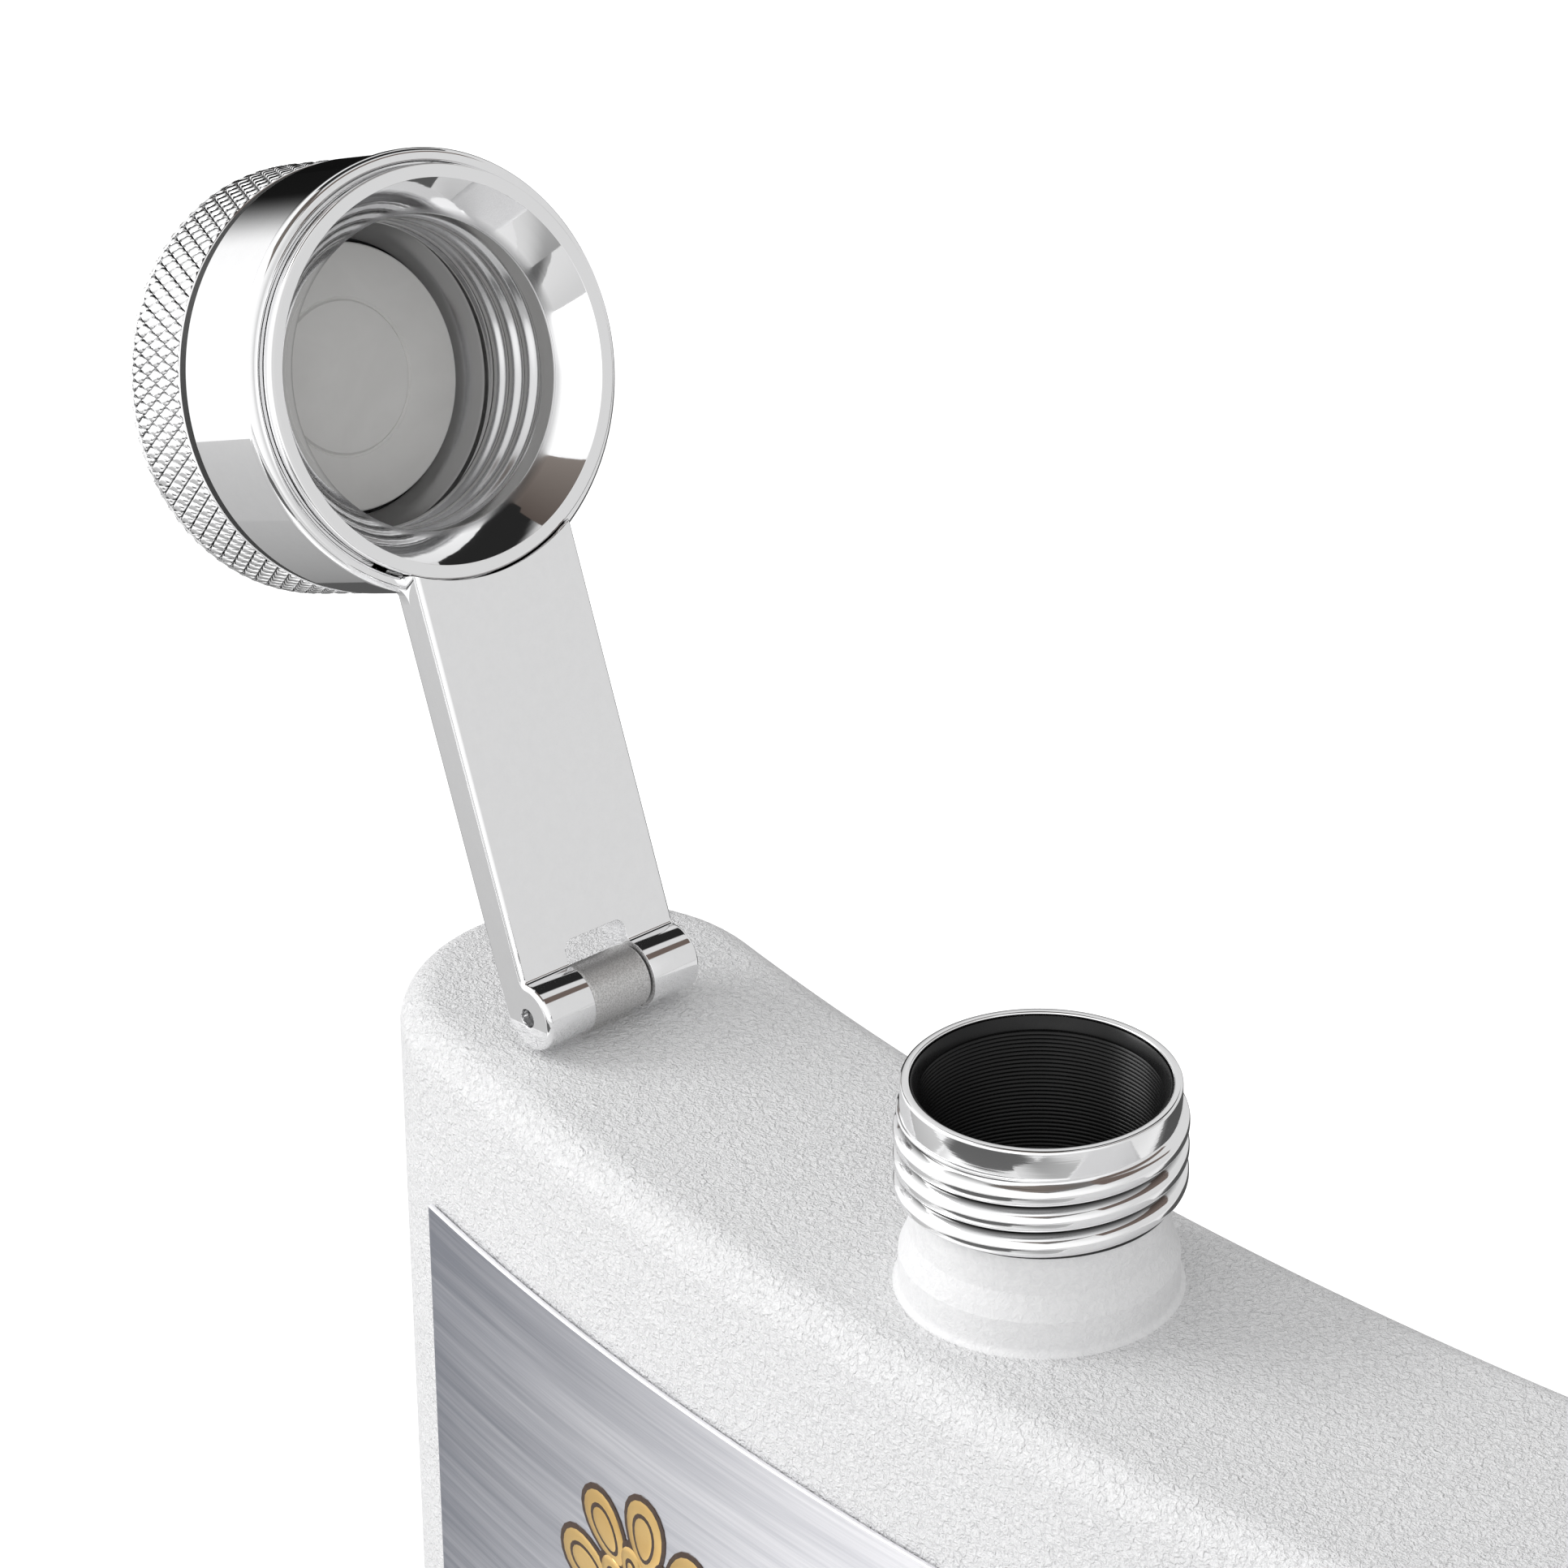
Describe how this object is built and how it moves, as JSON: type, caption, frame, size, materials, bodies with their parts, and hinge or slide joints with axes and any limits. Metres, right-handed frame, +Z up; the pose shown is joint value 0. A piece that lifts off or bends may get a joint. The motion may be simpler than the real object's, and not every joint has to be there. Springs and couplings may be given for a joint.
{
  "type": "hip flask",
  "caption": "Curved pocket flask with a threaded neck and a knurled screw cap held in a hinged arm; the cap turns in its ring and the arm swings over the neck.",
  "frame": {"origin": "middle of the flat base, under the neck's axis", "axes": "+Z up along the neck, +X along the flask's width away from the hinge, -Y the labelled convex face"},
  "size_m": [0.114, 0.0264, 0.1764],
  "materials": {
    "white_coat": "fine-grained white powder coat on steel",
    "chrome": "polished",
    "black_liner": "ribbed black",
    "blasted_steel": "bead blasted",
    "pin_steel": "ground",
    "grey_seal": "smooth grey",
    "black_nylon": "plain",
    "glue_film": "adhesive film",
    "brushed_label": "brushed along the width",
    "gold_foil": "gold"
  },
  "bodies": {
    "flask": {"body_wall": "white_coat", "top_pan": "white_coat", "bottom_pan": "white_coat", "neck_tube": "white_coat", "neck_thread": "chrome", "pour_liner": "black_liner", "hinge_lug": "blasted_steel", "label_glue": "glue_film", "label_plate": "brushed_label", "label_ornament": "gold_foil"},
    "arm": {"hinge_arm": "chrome", "hinge_pin": "pin_steel"},
    "cap": {"cap_bush": "chrome", "cap_head": "chrome", "seal_disc": "grey_seal", "swivel_washer": "black_nylon"}
  },
  "joints": [
    {"name": "arm_hinge", "type": "hinge", "parent": "flask", "child": "arm", "pos_m": [-0.03528, 0.00129, 0.13235], "axis": [-0.0366, -0.9993, 0], "range_deg": [-110.4, 69.6]},
    {"name": "cap_spin", "type": "hinge", "parent": "arm", "child": "cap", "pos_m": [-0.04757, 0.00174, 0.16544], "axis": [0.9367, -0.0343, 0.3486], "continuous": true}
  ]
}
